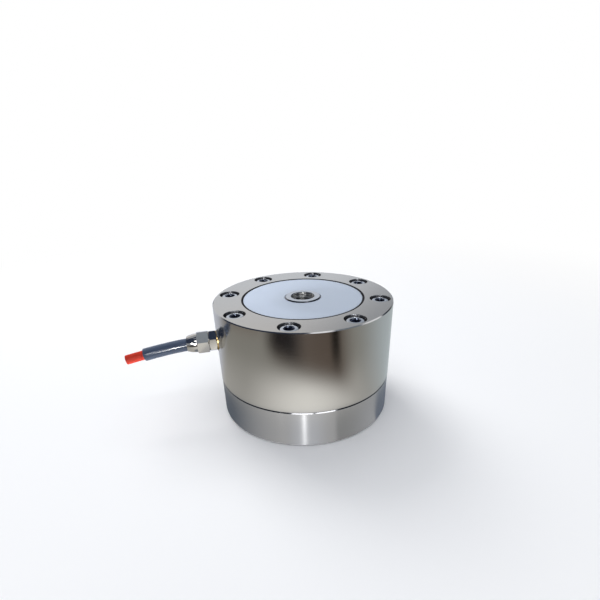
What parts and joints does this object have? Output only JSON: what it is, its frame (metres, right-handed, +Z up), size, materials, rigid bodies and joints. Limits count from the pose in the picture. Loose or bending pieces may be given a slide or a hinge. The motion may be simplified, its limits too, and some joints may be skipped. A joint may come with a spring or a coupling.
{
  "type": "compression load cell",
  "caption": "Low round compression load cell: spring element on a bolted base plate, white ring cover, threaded hub, and a cable gland with a short sleeved cable.",
  "frame": {"origin": "centre of the base plate's bottom face, on the load axis", "axes": "+Z up the load axis, towards the hub's threaded face; the cable gland points along -X"},
  "size_m": [0.1566, 0.105, 0.0689],
  "materials": {
    "satin_nickel": "satin",
    "turned_steel": "satin",
    "screw_steel": "satin",
    "cover_white": "satin",
    "cover_steel": "satin",
    "seal_rubber": "matte",
    "gland_nickel": "polished",
    "washer_brass": "satin",
    "sleeve_slate": "gloss",
    "cable_red": "satin",
    "board_green": "satin",
    "gauge_foil": "satin",
    "lead_copper": "satin",
    "core_red": "satin",
    "core_black": "satin",
    "core_green": "satin",
    "core_white": "satin"
  },
  "bodies": {
    "root": {"elastic_body": "satin_nickel", "base_plate": "turned_steel", "top_cover": "cover_white", "bottom_cover": "cover_steel", "rim_seal": "seal_rubber", "hub_seal": "seal_rubber", "terminal_board": "board_green", "gland_washer": "washer_brass", "gland_body": "gland_nickel", "gland_nut": "gland_nickel", "gland_seal": "seal_rubber", "cable": "cable_red", "cable_sleeve": "sleeve_slate", "rim_screw_1": "screw_steel", "rim_screw_2": "screw_steel", "rim_screw_3": "screw_steel", "rim_screw_4": "screw_steel", "rim_screw_5": "screw_steel", "rim_screw_6": "screw_steel", "rim_screw_7": "screw_steel", "rim_screw_8": "screw_steel", "strain_gauge_1": "gauge_foil", "strain_gauge_2": "gauge_foil", "strain_gauge_3": "gauge_foil", "strain_gauge_4": "gauge_foil", "strain_gauge_5": "gauge_foil", "strain_gauge_6": "gauge_foil", "strain_gauge_7": "gauge_foil", "strain_gauge_8": "gauge_foil", "gauge_lead_1": "lead_copper", "gauge_lead_2": "lead_copper", "gauge_lead_3": "lead_copper", "gauge_lead_4": "lead_copper", "gauge_lead_5": "lead_copper", "gauge_lead_6": "lead_copper", "gauge_lead_7": "lead_copper", "gauge_lead_8": "lead_copper", "cable_core_1": "core_red", "cable_core_2": "core_black", "cable_core_3": "core_green", "cable_core_4": "core_white"}
  },
  "joints": []
}
